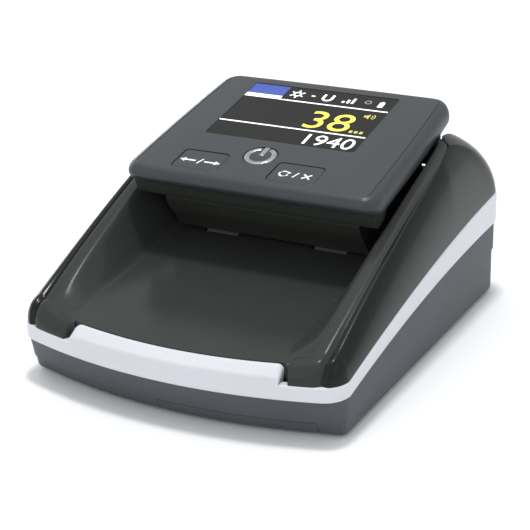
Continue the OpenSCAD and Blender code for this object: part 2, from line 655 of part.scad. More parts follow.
// rounded rectangle w by h, corner radius r, from height w0 to w1
module rrect(at,w,h,r,w0,w1) translate([at[0],at[1],w0]) linear_extrude(w1-w0) union() {
  square([w-2*r,h],center=true);
  square([w,h-2*r],center=true);
  for (i=[-1,1]) for (j=[-1,1]) translate([i*(w/2-r),j*(h/2-r)]) circle(r=r,$fn=32);
}
module head_top_shell() color([0.3,0.31,0.32]) head() difference() {
  union() {
    difference() {
      head_solid();
      head_cavity();
    }
    for (p=head_posts) place([p]) pillar(p[2],-1.4,2.4);
    // posts over the board
    for (x=[-39,35]) place([[x,6],[x,26]]) pillar(-5.6,-1.6,1.6);
    // frame behind the display
    difference() {
      rrect(disp_at,disp_w+4,disp_h+4,2,-4.5,-1.8);
      rrect(disp_at,disp_w-1,disp_h-1,1,-6,1);
    }
  }
  rrect(disp_at,disp_w,disp_h,1.2,-1.9,1);
  rrect(disp_at,disp_w-3,disp_h-3,1,-9,1);
  for (at=[key_left_at,key_right_at]) rrect(at,key_w+0.4,key_h+0.4,2.2,-9,1);
  place([power_at]) pillar(-9,1,power_r+0.2,64);
  place(head_posts) pillar(-9,-3,1,24);
}

// [y, z] profile of the tub from the chin to its rear wall, inset by g
function tub_profile(g) = [[-4.4+g*1.4,56.5], [-5.8+g*1.4,53+g*0.3], [-4+g*1.2,49+g*0.6],
  [-1.2+g*1.1,45.4+g*0.8], [2+g*0.8,41.8+g], [3.4+g*0.8,path_z(3.4)+2.2+g],
  [5.2+g*0.8,path_z(5.2)+1.05+g], [54-g,path_z(54)+1.05+g], [54-g,64]];
module head_bottom_cover() color([0.08,0.08,0.085]) difference() {
  union() {
    difference() {
      union() {
        // wide deck under the shell with a rolled chin
        slab(-51,51,head_points([[2.9,split_w],[3.4,-10.5],[3.6,-12.4],[4.3,-13.9],
          [5.6,-14.9],[8.7,-15.2],[12,-13.9],[17,-9.6],[66,-9.6],[66,split_w]]));
        slab(-49,49,head_points([[6.3,-9],[6.3,-14.5],[10.4,-14.2],[14,-14.1],[20,-13],
          [65.4,-13],[65.4,-9]]));
        // deep tub between the rails
        slab(-42,42,concat(tub_profile(0),head_points([[70,-12],[10,-12]])));
      }
      slab(-47,47,head_points([[5.6,-7],[5.8,-12],[7,-13],[14,-12.8],[20,-11],
        [64,-11],[64,-7]]));
      slab(-40,40,concat(tub_profile(2),head_points([[66,-10],[14,-10]])));
    }
    for (p=head_posts) head() place([p]) pillar(p[3],split_w,2.6);
    // hinge knuckles
    for (s=[-1,1]) {
      side_rod(s,43.4,45.8,hinge,4.4);
      side_slab(s,43.4,45.8,
        [hinge-[4.4,0],hinge-[0,4.4],[46,66],[40,66.5],head_point(60,-8.1)]);
    }
  }
  for (s=[-1,1]) {
    side_rod(s,43,48,hinge,1.5+run);
    side_box(s,46,49.4,46.5,60,55,90);
  }
  path() {
    roller_windows(4.2,0,3.6);
    box(-38,38,20,36,0,6);
    for (x=[-8,0,8]) box(x-2.2,x+2.2,39,43,0,6);
  }
  for (s=[front_s,rear_s]) rod(-42.1,42.1,path_point(s,pinch_h),pinch_shaft_r+run);
  for (p=head_posts) head() place([p]) {
    pillar(-20,-7,1.3,24);
    pillar(-20,p[4],2.1,24);
  }
}
module head_screws() color(screw_steel) head()
  for (p=head_posts) place([p]) mirror([0,0,1]) screw(-p[4],6.2,1,2);

module pinch_shaft(s) rod(-41.8,41.8,path_point(s,pinch_h),pinch_shaft_r,40);
module pinch_rollers(s) roller_pair(path_point(s,pinch_h),pinch_r,pinch_shaft_r,48,40);
module pinch_shaft_front() color(steel) pinch_shaft(front_s);
module pinch_shaft_rear() color(steel) pinch_shaft(rear_s);
module pinch_rollers_front() color([0.2,0.2,0.21]) pinch_rollers(front_s);
module pinch_rollers_rear() color([0.2,0.2,0.21]) pinch_rollers(rear_s);

module display_window() color([0.03,0.03,0.035]) head()
  rrect(disp_at,disp_w-0.2,disp_h-0.2,1.1,-1.9,-0.15);
module lcd_module() color([0.6,0.62,0.64]) head()
  rrect(disp_at,disp_w-3.4,disp_h-3.4,0.8,-6.4,-1.95);
module head_pcb() color(board_green) head() box(-41.5,38,4.2,29,-7,-5.6);
module tact_switches() color([0.15,0.15,0.16]) head()
  place([key_left_at,key_right_at,power_at]) union() {
    box(-3,3,-3,3,-5.6,-4.5);
    pillar(-4.5,-4,1.6);
  }
// cap, retaining flange and plunger
module key(at) head() union() {
  rrect(at,key_w,key_h,2,-2.4,-0.1);
  rrect(at,key_w+2,key_h-0.4,1.5,-3,-2.3);
  rrect(at,5,5,1,-3.15,-3);
}
module key_left() color(key_grey) key(key_left_at);
module key_right() color(key_grey) key(key_right_at);
module power_button() color(key_grey) head() place([power_at]) union() {
  pillar(-2.4,-0.1,power_r,64);
  pillar(-3,-2.3,power_r+0.9,64);
  pillar(-3.15,-2.95,2.5);
  // raised ring, open at the rear, and bar
  difference() {
    pillar(-0.4,0.25,power_r-0.5,64);
    pillar(-1.4,1.6,power_r-2.5,64);
    box(-2,2,0,9,-1.4,1.6);
  }
  box(-0.9,0.9,0.6,power_r-0.4,-0.4,0.25);
}
module upper_sensor_board() color(board_green) path() union() {
  box(-39.4,39.4,19.2,36.8,9,10.4);
  box(-39,39,19.4,36.6,3.3,9);
}
module upper_glass() color(glass_grey) path() box(-37.9,37.9,20.1,35.9,1.2,2.9);
module magnetic_heads() color([0.6,0.6,0.62]) path()
  for (x=[-8,0,8]) box(x-2,x+2,39.2,42.8,0.9,6);

base_shell();
trim_band();
top_housing();
tray_insert();
chassis();
battery_door();
battery_pack();
battery_contacts();
rubber_feet();
housing_screws();
chassis_screws();
main_pcb();
pcb_chips();
buzzer();
ports_board();
dc_jack();
usb_port();
motor_can();
motor_screws();
motor_shaft();
motor_pinion();
idler_gear();
idler_stub();
shaft_bushings();
feed_shaft_front();
feed_rollers_front();
feed_gear_front();
feed_shaft_rear();
feed_rollers_rear();
feed_gear_rear();
encoder_disc();
encoder_sensor();
lower_sensor_board();
lower_glass();
hinge_pins();
head_top_shell();
head_bottom_cover();
display_window();
lcd_module();
head_pcb();
tact_switches();
upper_sensor_board();
upper_glass();
magnetic_heads();
head_screws();
pinch_shaft_front();
pinch_rollers_front();
pinch_shaft_rear();
pinch_rollers_rear();
key_left();
key_right();
power_button();
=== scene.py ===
"""Looks for a banknote checker: a base with a sloping tray, and a tilted head above it.

The front faces -Y, the right side is +X and the floor lies just below z = 0.
Shapes are worked out in millimetres and turned into metres in make_mesh.
Lights and camera are placed in metres.
"""
import bpy
import bmesh
import math
import numpy as np
from mathutils import Matrix, Vector


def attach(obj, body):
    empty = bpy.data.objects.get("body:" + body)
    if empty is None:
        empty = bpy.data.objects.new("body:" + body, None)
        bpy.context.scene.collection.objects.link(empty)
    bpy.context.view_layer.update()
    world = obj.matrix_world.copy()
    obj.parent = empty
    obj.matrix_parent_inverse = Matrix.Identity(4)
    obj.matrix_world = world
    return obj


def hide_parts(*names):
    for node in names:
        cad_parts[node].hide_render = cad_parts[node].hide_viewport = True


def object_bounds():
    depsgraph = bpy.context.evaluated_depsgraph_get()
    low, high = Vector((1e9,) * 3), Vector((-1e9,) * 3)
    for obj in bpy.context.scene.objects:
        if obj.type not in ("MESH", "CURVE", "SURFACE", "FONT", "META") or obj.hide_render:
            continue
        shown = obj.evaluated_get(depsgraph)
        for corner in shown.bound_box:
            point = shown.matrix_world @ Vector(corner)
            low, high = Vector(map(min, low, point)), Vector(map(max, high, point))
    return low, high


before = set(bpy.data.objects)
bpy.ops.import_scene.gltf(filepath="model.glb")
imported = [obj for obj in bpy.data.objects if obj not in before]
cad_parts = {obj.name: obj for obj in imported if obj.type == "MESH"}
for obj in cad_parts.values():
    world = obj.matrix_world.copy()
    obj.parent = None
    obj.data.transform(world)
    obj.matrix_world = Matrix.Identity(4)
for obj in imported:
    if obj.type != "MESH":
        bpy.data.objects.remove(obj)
size_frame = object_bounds()
scene = bpy.context.scene
collection = scene.collection

# ------------------------------------------------------------------ materials


def linear(rgb):
    """Linear colour from 0-255 sRGB."""
    return tuple(((v / 255 + 0.055) / 1.055) ** 2.4 if v > 10.3 else v / 255 / 12.92 for v in rgb)


def material(name, rgb, rough, metal=0.0, spec=0.5, vary=0.06, grain=2600, bump=0.05, coat=0.0,
             rough_vary=0.06, patch=38, emit=None, stretch=None):
    """Procedural surface.

    Broad noise of scale patch shifts the colour by vary. Fine noise of scale grain shifts
    the roughness by rough_vary and drives the bump. spec is the specular level, emit the
    emission strength and stretch the scale of the noise along each axis.
    """
    result = bpy.data.materials.new(name)
    result.use_nodes = True
    nodes, link = result.node_tree.nodes, result.node_tree.links.new
    shader = nodes["Principled BSDF"]
    coords = nodes.new("ShaderNodeTexCoord")
    mapping = nodes.new("ShaderNodeMapping")
    link(coords.outputs["Object"], mapping.inputs["Vector"])
    if stretch:
        mapping.inputs["Scale"].default_value = stretch

    def noise(scale, detail):
        node = nodes.new("ShaderNodeTexNoise")
        node.inputs["Scale"].default_value = scale
        node.inputs["Detail"].default_value = detail
        link(mapping.outputs["Vector"], node.inputs["Vector"])
        return node.outputs["Fac"]

    broad = noise(scale=patch, detail=4)
    fine = noise(scale=grain, detail=2)
    color = linear(rgb)
    ramp = nodes.new("ShaderNodeValToRGB")
    dark_end, light_end = ramp.color_ramp.elements
    dark_end.position = 0.3
    light_end.position = 0.7
    dark_end.color = (*[max(0, v * (1 - vary)) for v in color], 1)
    light_end.color = (*[min(1, v * (1 + vary)) for v in color], 1)
    link(broad, ramp.inputs["Fac"])
    link(ramp.outputs["Color"], shader.inputs["Base Color"])
    rough_range = nodes.new("ShaderNodeMapRange")
    rough_range.inputs["To Min"].default_value = max(0.02, rough - rough_vary)
    rough_range.inputs["To Max"].default_value = min(1, rough + rough_vary)
    link(fine, rough_range.inputs["Value"])
    link(rough_range.outputs["Result"], shader.inputs["Roughness"])
    relief = nodes.new("ShaderNodeBump")
    relief.inputs["Strength"].default_value = bump
    relief.inputs["Distance"].default_value = 0.00005
    link(fine, relief.inputs["Height"])
    link(relief.outputs["Normal"], shader.inputs["Normal"])
    values = {"Metallic": metal, "Specular IOR Level": spec, "Coat Weight": coat,
              "Coat Roughness": 0.08}
    if emit:
        values.update({"Emission Color": (*color, 1), "Emission Strength": emit})
        link(ramp.outputs["Color"], shader.inputs["Emission Color"])
    for socket, value in values.items():
        shader.inputs[socket].default_value = value
    return result


MATERIALS = dict(
    base=material("base_grey_plastic", (72, 75, 79), rough=0.52, spec=0.32, bump=0.12, grain=1500,
                  vary=0.07),
    band=material("trim_white_plastic", (212, 213, 218), rough=0.32, spec=0.4, vary=0.015,
                  bump=0.02, patch=20),
    gloss=material("gloss_black_plastic", (28, 30, 28), rough=0.22, spec=0.15, bump=0.015,
                   coat=0.06, rough_vary=0.03),
    tray=material("tray_black_plastic", (54, 56, 54), rough=0.2, spec=0.15, vary=0.05, bump=0.01,
                  rough_vary=0.03),
    head=material("head_grey_plastic", (56, 59, 62), rough=0.36, spec=0.36, bump=0.06, vary=0.04),
    cover=material("inner_black_plastic", (50, 52, 48), rough=0.5, spec=0.12, bump=0.08),
    key=material("key_grey_plastic", (56, 59, 62), rough=0.4, spec=0.34, bump=0.06, vary=0.04),
    chassis=material("chassis_black_plastic", (30, 30, 32), rough=0.5, spec=0.4, bump=0.1),
    screen=material("screen_glass", (37, 38, 35), rough=0.3, spec=0.1, vary=0.05, bump=0.0,
                    patch=60),
    sensor=material("sensor_glass", (62, 64, 74), rough=0.08, spec=0.6, vary=0.04, bump=0.0,
                    coat=0.4),
    board=material("board_green", (24, 92, 48), rough=0.38, vary=0.22, patch=420, bump=0.2,
                   grain=900),
    steel=material("steel", (190, 192, 196), rough=0.26, metal=1.0, vary=0.04,
                   stretch=(0.05, 1, 1), bump=0.06),
    brass=material("brass", (196, 160, 88), rough=0.32, metal=1.0),
    roller=material("roller_rubber", (104, 105, 106), rough=0.8, spec=0.3, bump=0.5, grain=1800),
    pinch=material("pinch_rubber", (52, 52, 54), rough=0.8, spec=0.3, bump=0.5, grain=1800),
    foot=material("foot_rubber", (24, 24, 25), rough=0.88, spec=0.25, bump=0.5, grain=1800),
    gear=material("gear_white", (226, 225, 216), rough=0.4, spec=0.4, vary=0.03),
    wrap=material("battery_wrap", (42, 72, 132), rough=0.35, vary=0.08, bump=0.06),
    lcd=material("lcd_back", (150, 153, 158), rough=0.35, metal=0.7, vary=0.05),
    chip=material("chip_black", (28, 28, 30), rough=0.5, spec=0.4, vary=0.15, bump=0.12,
                  grain=1300),
    dark=material("black_nylon", (33, 33, 35), rough=0.55, spec=0.35, bump=0.1),
    chrome=material("power_symbol_metal", (176, 178, 182), rough=0.2, metal=0.9, vary=0.1,
                    bump=0.02, patch=500),
    # white print on the keys: the ink colour is real, but its emission (emit 0.12) is a painted
    # glow, since the print is no lamp
    white=material("print_white_painted_glow", (236, 238, 240), rough=0.5, spec=0.3, vary=0.02, bump=0.02,
                   emit=0.12),
    lit_white=material("display_white", (248, 248, 248), rough=0.5, vary=0.01, bump=0.0,
                       emit=0.75),
    lit_yellow=material("display_yellow", (240, 222, 96), rough=0.5, spec=0.1, vary=0.02,
                        bump=0.0, emit=0.35),
    lit_pale=material("display_pale_yellow", (196, 190, 96), rough=0.5, vary=0.02, bump=0.0,
                      emit=0.3),
    lit_blue=material("display_blue", (58, 84, 170), rough=0.5, bump=0.0, patch=300),
    lit_grey=material("display_grey", (132, 134, 134), rough=0.5, vary=0.02, bump=0.0, emit=0.3),
)

# CAD pieces by material
CAD_PIECES = dict(
    base="base_shell battery_door",
    chassis="chassis",
    wrap="battery_pack",
    foot="rubber_feet",
    brass="battery_contacts motor_pinion shaft_bushings",
    steel="housing_screws chassis_screws usb_port motor_can motor_screws motor_shaft idler_stub "
          "feed_shaft_front feed_shaft_rear hinge_pins magnetic_heads head_screws "
          "pinch_shaft_front pinch_shaft_rear",
    board="main_pcb ports_board lower_sensor_board head_pcb upper_sensor_board",
    chip="pcb_chips buzzer encoder_sensor tact_switches",
    dark="dc_jack encoder_disc",
    gear="idler_gear feed_gear_front feed_gear_rear",
    roller="feed_rollers_front feed_rollers_rear",
    pinch="pinch_rollers_front pinch_rollers_rear",
    sensor="lower_glass upper_glass",
    cover="head_bottom_cover",
    screen="display_window",
    lcd="lcd_module",
    band="trim_band",
    gloss="top_housing",
    tray="tray_insert",
    head="head_top_shell",
    key="key_left key_right power_button",
)
piece_material = {piece: key for key, pieces in CAD_PIECES.items() for piece in pieces.split()}
for piece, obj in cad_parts.items():
    obj.data.materials.clear()
    obj.data.materials.append(MATERIALS[piece_material[piece]])

# ---- CAD shells that stay in view: joined edges, shaded smooth up to an angle


def soft_edges_group(merge_distance, sharp_angle):
    group = bpy.data.node_groups.new("soft_edges", "GeometryNodeTree")
    for direction in ("INPUT", "OUTPUT"):
        group.interface.new_socket("Geometry", in_out=direction, socket_type="NodeSocketGeometry")
    new, link = group.nodes.new, group.links.new
    source, result = new("NodeGroupInput"), new("NodeGroupOutput")
    merge = new("GeometryNodeMergeByDistance")
    merge.inputs["Distance"].default_value = merge_distance
    smooth = new("GeometryNodeSetShadeSmooth")
    sharp = new("GeometryNodeSetShadeSmooth")
    sharp.domain = "EDGE"
    sharp.inputs["Shade Smooth"].default_value = False
    edge_angle = new("GeometryNodeInputMeshEdgeAngle")
    compare = new("FunctionNodeCompare")
    compare.operation = "GREATER_THAN"
    compare.inputs[1].default_value = sharp_angle
    link(source.outputs[0], merge.inputs["Geometry"])
    link(merge.outputs[0], smooth.inputs["Geometry"])
    link(smooth.outputs[0], sharp.inputs["Geometry"])
    link(edge_angle.outputs["Unsigned Angle"], compare.inputs[0])
    link(compare.outputs[0], sharp.inputs["Selection"])
    link(sharp.outputs[0], result.inputs[0])
    return group


soft_edges = soft_edges_group(merge_distance=2e-6, sharp_angle=math.radians(24))
for piece in ("base_shell", "battery_door", "head_bottom_cover"):
    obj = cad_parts[piece]
    normals = obj.data.attributes.get("custom_normal")
    if normals:
        obj.data.attributes.remove(normals)
    obj.modifiers.new("soft_edges", "NODES").node_group = soft_edges

# ------------------------------------------------------------------ driving sizes, millimetres

HALF_W, HALF_L, WALL = 66.5, 84.0, 2.2
FRONT_BOW = 11.41                      # how far the front arc bulges
FRONT_R = (HALF_W ** 2 + FRONT_BOW ** 2) / (2 * FRONT_BOW)
FRONT_CORNER_R, REAR_CORNER_R = 10.0, 11.0
REAR_CORNER_X, REAR_CORNER_Y = HALF_W - REAR_CORNER_R, HALF_L - REAR_CORNER_R
# centre of the front corner, and the angle where the front arc meets it
CORNER_X = HALF_W - FRONT_CORNER_R
CORNER_Y = (-HALF_L + FRONT_R) - math.sqrt((FRONT_R - FRONT_CORNER_R) ** 2 - CORNER_X ** 2)
CORNER_ANGLE = math.asin(CORNER_X / (FRONT_R - FRONT_CORNER_R))

FLOOR_Z, FLOOR_SLOPE = 36.5, 0.11      # tray floor: height at y = 0, and rise towards the rear
FLOOR_ANGLE = math.atan(FLOOR_SLOPE)
HEAD_Y, HEAD_Z, HEAD_TILT = -17.95, 69.0, math.radians(11.7)   # front edge of the head's top
CREASE_X = HALF_W - 7.2                # where the housing's sides meet the rails
EDGE_X = 59.2                          # outer edge of the tray's rails
NOSE_DEPTH = 8.6                       # depth over which each nose rolls down to the band
LIP_RIGHT, LIP_LEFT = (45.4, 2.4), (39.4, 4.0)   # end of the lip in x, and its corner radius
NOSE_GAP = 0.25                        # between the lip's end and the nose beside it


def front_y(x):
    """The front arc, seen from above."""
    return -HALF_L + FRONT_R - math.sqrt(FRONT_R * FRONT_R - x * x)


def side_share(y):
    """0 at the front corner, 1 at the rear."""
    return max(0.0, min(1.0, (y - CORNER_Y) / (HALF_L - CORNER_Y)))


def band_low(y):
    return 16.4 + 15 * (1 - (1 - side_share(y)) ** 2.1)


def band_high(y):
    return 22.3 + 22.2 * (1 - (1 - side_share(y)) ** 1.65)


def crease_z(y):
    rise = y + 70
    return 30 + 0.48 * rise if rise < 0 else 30 + 0.48 * rise - 0.00085 * rise * rise


def floor_z(y):
    return FLOOR_Z + FLOOR_SLOPE * y


def smooth_step(t):
    t = max(0.0, min(1.0, t))
    return t * t * (3 - 2 * t)


def fillet(t):
    """Straight ramp from 0 to 1 with parabolic ends, each a share of the run."""
    t, share = max(0.0, min(1.0, t)), 0.24
    scale = 2 * share * (1 - share)
    if t < share:
        return t * t / scale
    if t > 1 - share:
        return 1 - (1 - t) ** 2 / scale
    return (t - share / 2) / (1 - share)


def rail_z(x, y):
    """Tray surface: the floor, rising to the crease at either side."""
    low, high = floor_z(y), crease_z(y) - 0.4
    return low + max(0.0, high - low) * fillet((abs(x) - 42.5) / 12)


def groove(x, y):
    """Depth of the soft valley along the crease, fading out towards the rear."""
    depth = 1.15 if y < -72 else 1.15 - 0.5 * smooth_step((y + 72) / 30)
    depth *= 1 - smooth_step((y - 5) / 30)
    return depth * math.exp(-((abs(x) - 59.35) / 1.35) ** 2)


def in_world(x, y, z):
    return (x, y, z)


def on_head(x, v, w):
    """v runs rearward along the head's top face, w stands out of it."""
    c, s = math.cos(HEAD_TILT), math.sin(HEAD_TILT)
    return (x, HEAD_Y + v * c - w * s, HEAD_Z + v * s + w * c)


def on_floor(x, along, above):
    c, s = math.cos(FLOOR_ANGLE), math.sin(FLOOR_ANGLE)
    return (x, along * c - above * s, FLOOR_Z + along * s + above * c)


# ------------------------------------------------------------------ mesh tools


def corner_arc(cx, cy, radius, start, steps):
    """Points x, y, nx, ny over a corner, from the angle start up to start's far side."""
    end = start + math.pi / 2 if start == 0 else 0.0
    out = []
    for i in range(steps + 1):
        a = end * i / steps if start == 0 else start * (1 - i / steps)
        out.append((cx + radius * math.cos(a), cy + radius * math.sin(a),
                    math.cos(a), math.sin(a)))
    return out


def half_outline(front_angles, corner_steps=20, side_steps=48, rear_steps=20, rear_shares=()):
    """Right half of the plan outline, front to rear: x, y and outward normal nx, ny."""
    out = [(FRONT_R * math.sin(a), -HALF_L + FRONT_R - FRONT_R * math.cos(a),
            math.sin(a), -math.cos(a)) for a in front_angles]
    out += corner_arc(CORNER_X, CORNER_Y, FRONT_CORNER_R, -(math.pi / 2 - CORNER_ANGLE),
                      corner_steps)
    out += [(HALF_W, CORNER_Y + (REAR_CORNER_Y - CORNER_Y) * i / side_steps, 1.0, 0.0)
            for i in range(1, side_steps)]
    out += corner_arc(REAR_CORNER_X, REAR_CORNER_Y, REAR_CORNER_R, 0, rear_steps)
    out += [(REAR_CORNER_X * share, HALF_L, 0.0, 1.0) for share in rear_shares]
    return out


def mirror(rings):
    return [[(-x, y, z) for x, y, z in ring] for ring in rings]


def shade(obj, angle):
    obj.data.shade_smooth()
    obj.data.set_sharp_from_angle(angle=math.radians(angle))


def make_mesh(name, verts, faces, key, angle=32, merge=1e-4):
    """A mesh object from millimetres; coincident points join and zero-area faces go."""
    data = bpy.data.meshes.new(name)
    bm = bmesh.new()
    points = [bm.verts.new(Vector(v) * 0.001) for v in verts]
    for face in faces:
        try:
            bm.faces.new([points[i] for i in face])
        except ValueError:
            pass                       # the face repeats a point or another face
    bmesh.ops.remove_doubles(bm, verts=bm.verts, dist=merge * 0.001)
    bmesh.ops.dissolve_degenerate(bm, edges=bm.edges, dist=1e-8)
    loose = [v for v in bm.verts if not v.link_faces]
    bmesh.ops.delete(bm, geom=loose, context="VERTS")
    bmesh.ops.recalc_face_normals(bm, faces=bm.faces)
    bm.to_mesh(data)
    bm.free()
    obj = bpy.data.objects.new(name, data)
    collection.objects.link(obj)
    data.materials.append(MATERIALS[key])
    shade(obj, angle)
    return obj


def ring_quads(start, other, count):
    """Quads between two rings of count points, given their first indices."""
    return [(start + j, start + (j + 1) % count, other + (j + 1) % count, other + j)
            for j in range(count)]


def sweep(rings, closed=False, caps=False):
    """Vertices and faces over equal rings; closed joins the last ring to the first."""
    count, total = len(rings[0]), len(rings)
    verts = [p for ring in rings for p in ring]
    faces = []
    for i in range(total if closed else total - 1):
        faces += ring_quads(i * count, (i + 1) % total * count, count)
    if caps:
        faces.append(tuple(range(count)))
        faces.append(tuple(range((total - 1) * count, total * count)))
    return verts, faces


def prism(outline, place, low, high):
    """Closed prism from a 2D outline, placed by place(x, y, z)."""
    count = len(outline)
    verts = [place(x, y, level) for level in (low, high) for x, y in outline]
    faces = [tuple(range(count - 1, -1, -1)), tuple(range(count, 2 * count))]
    return verts, faces + ring_quads(0, count, count)


def round_rect(cx, cy, width, height, radius, steps=8):
    out = []
    for sx, sy, start in ((1, 1, 0), (-1, 1, 90), (-1, -1, 180), (1, -1, 270)):
        for i in range(steps + 1):
            a = math.radians(start + 90 * i / steps)
            out.append((cx + sx * (width / 2 - radius) + radius * math.cos(a),
                        cy + sy * (height / 2 - radius) + radius * math.sin(a)))
    return out


def circle(cx, cy, radius, steps=64):
    angles = [2 * math.pi * i / steps for i in range(steps)]
    return [(cx + radius * math.cos(a), cy + radius * math.sin(a)) for a in angles]


def rect(x0, x1, y0, y1):
    return [(x0, y0), (x1, y0), (x1, y1), (x0, y1)]


def cutter(outline, place, low, high):
    return make_mesh("cutter", *prism(outline, place, low, high), "dark")


def box_cutter(x0, x1, y0, y1, low, high, place=in_world):
    return cutter(rect(x0, x1, y0, y1), place, low, high)


def cut(obj, cutters, angle):
    """Subtract the cutters, bake the result into obj and remove them."""
    for tool in cutters:
        boolean = obj.modifiers.new("cut", "BOOLEAN")
        boolean.operation = "DIFFERENCE"
        boolean.solver = "EXACT"
        boolean.object = tool
    depsgraph = bpy.context.evaluated_depsgraph_get()
    depsgraph.update()
    data = bpy.data.meshes.new_from_object(obj.evaluated_get(depsgraph))
    obj.modifiers.clear()
    old = obj.data
    obj.data = data
    bpy.data.meshes.remove(old)
    for tool in cutters:
        tool_data = tool.data
        bpy.data.objects.remove(tool)
        bpy.data.meshes.remove(tool_data)
    while len(data.materials) > 1:
        data.materials.pop()
    shade(obj, angle)


def finish_piece(obj, body, piece):
    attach(obj, body)
    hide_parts(piece)


# ------------------------------------------------------------------ trim band and its front lip


def band_section(point, in_lip, lip_end, corner_r):
    """Closed section from the inner bottom edge, round the outer face, to the inner top."""
    x, y, nx, ny = point
    low, high = band_low(y), band_high(y)
    inner = 0.9 + WALL

    def inset(rows):
        return [(x - nx * e, y - ny * e, z) for e, z in rows]

    # rows are inset from the outline, and z
    section = inset([(inner, low), (0.9, low), (0.5, low + 0.1), (0.2, low + 0.35),
                     (0.05, low + 0.65), (0.0, low + 1.0), (0.0, low + 1.7)])
    if not in_lip:
        return section + inset([
            (0.0, high - 1.9), (0.0, high - 1.5), (0.0, high - 1.25), (0.0, high - 1.0),
            (0.03, high - 0.75), (0.12, high - 0.42), (0.26, high - 0.2), (0.48, high - 0.06),
            (0.8, high), (inner - 0.6, high), (inner - 0.3, high), (inner, high)])
    top = floor_z(y + 5) - 0.25
    rise = top - high
    squash = 1.0                       # lowers the lip round its end corner
    if x > lip_end - corner_r:
        drop = math.sqrt(max(0.0, corner_r * corner_r - (x - lip_end + corner_r) ** 2))
        squash = max(0.02, (rise - corner_r + drop) / rise)
    # rows are distance behind the outline, and z before the lip is lowered
    lip = [(0.0, high - 0.4), (0.06, 23.6), (0.12, 24.3), (0.22, 24.7), (0.4, 25.02),
           (0.62, 25.3), (1.0, 25.15 + (top - 25.65) * 0.2),
           (2.7, 25.15 + (top - 25.65) * 0.84), (3.15, top - 0.5), (3.5, top - 0.18),
           (3.9, top), (5.15, top)]
    return section + [(x, y + e, high + (z - high) * squash if z > high else z) for e, z in lip]


def band_half(lip_end, corner_r):
    start, end = math.asin((lip_end - corner_r) / FRONT_R), math.asin(lip_end / FRONT_R)
    angles = [start * i / 30 for i in range(30)]
    angles += [start + (end - start) * i / 16 for i in range(16)]
    last_lip = len(angles)
    angles += [end, end]               # the step from lip to plain band
    angles += [end + (CORNER_ANGLE - end) * i / 12 for i in range(1, 12)]
    return [band_section(point, i <= last_lip, lip_end, corner_r)
            for i, point in enumerate(half_outline(angles))]


rings = band_half(*LIP_RIGHT) + mirror(band_half(*LIP_LEFT)[:0:-1])
band = make_mesh("trim_band_body", *sweep(rings, closed=True), "band", 30)
finish_piece(band, "base", "trim_band")

# ------------------------------------------------------------------ upper housing
# two sides and the rear, rolled over to the crease

HOUSING_START_X = HALF_W - 7.12        # the front of the outline is left out inside this
# stations from the foot of the roll to its top, as shares of a right angle
PROFILE = [math.radians(90) * t for t in [
    0, .02, .045, .075, .11, .15, .2, .25, .3, .36, .42, .48, .54, .6, .66, .72, .78, .83, .88,
    .92, .955, .98, 1]]


def crest(x, y, ny):
    """Top of the roll that starts at an outline point."""
    if ny < -0.001:
        turn = max(0.0, 1 + ny / math.cos(CORNER_ANGLE))
        nose_y = y + NOSE_DEPTH * (1 - turn)
        return (CREASE_X, nose_y, rail_z(CREASE_X, nose_y) + 0.2 + 0.2 * turn)
    if ny > 0.999:
        return (x * 52 / REAR_CORNER_X, 48.0, 75.0)
    if ny > 0.001 or y > 30:
        side = min(1.0, (y - 30) / (REAR_CORNER_Y - 30))
        corner = math.degrees(math.asin(min(1.0, ny))) / 90 if ny > 0.001 else 0.0
        return (CREASE_X - 1.3 * side - 6 * corner, 30 + 12 * side + 6 * corner,
                crease_z(30 + 12 * side) + 2.2 * corner)
    return (CREASE_X, y, crease_z(y))


def roll(foot, top, foot_z, power, grooved):
    """Superellipse from the foot (x, y) up and over to the top."""
    out = []
    for a in PROFILE:
        flat, up = abs(math.cos(a)) ** (2 / power), math.sin(a) ** (2 / power)
        x, y = [t + (f - t) * flat for f, t in zip(foot, top)]
        z = foot_z + (top[2] - foot_z) * up
        if grooved:
            depth = groove(x, y)
            if y < CORNER_Y:
                y += depth * math.cos(a)
            z -= depth * math.sin(a)
        out.append((x, y, z))
    return out


def housing_section(point):
    x, y, nx, ny = point
    cx, cy, cz = crest(x, y, ny)
    power = 2.1 - 0.5 * min(1.0, (y - 30) / 35) if y > 30 else 2.1
    wall = 1.3 * WALL if ny > 0.3 else WALL

    def foot(inset):
        return (x - nx * inset, y - ny * inset)

    outer = roll(foot(0.5), (cx, cy, cz), band_high(y), power, True)
    inner = roll(foot(0.5 + wall), (cx, cy, cz - wall), band_high(y), power, False)
    return outer + inner[::-1]


outline = half_outline([CORNER_ANGLE * 0.999], corner_steps=60, side_steps=60, rear_steps=26,
                       rear_shares=[1 - i / 16 for i in range(1, 17)])
rings = [housing_section(p) for p in outline if p[0] > HOUSING_START_X or p[1] > 0]
rings += mirror(rings[-2::-1])
verts, faces = sweep(rings)
count = len(rings[0])
for start in (0, (len(rings) - 1) * count):      # the two front ends
    faces += [(start + i, start + i + 1, start + count - 2 - i, start + count - 1 - i)
              for i in range(count // 2 - 1)]
housing = make_mesh("housing_body", verts, faces, "gloss", 38)
cut(housing, [
    box_cutter(-53.1, 53.1, -20, 68.5, 50, 100),           # the head's well
    box_cutter(45.6, 49.4, 45.8, 61, 45, 100),             # a slot at either side of it
    box_cutter(-49.4, -45.6, 45.8, 61, 45, 100),
    box_cutter(-45.5, 45.5, 60, 95, 40, 51)], 38)          # wide opening in the rear
finish_piece(housing, "base", "top_housing")

# ------------------------------------------------------------------ tray
# floor between two rails; each rail's nose rolls down to the band in front

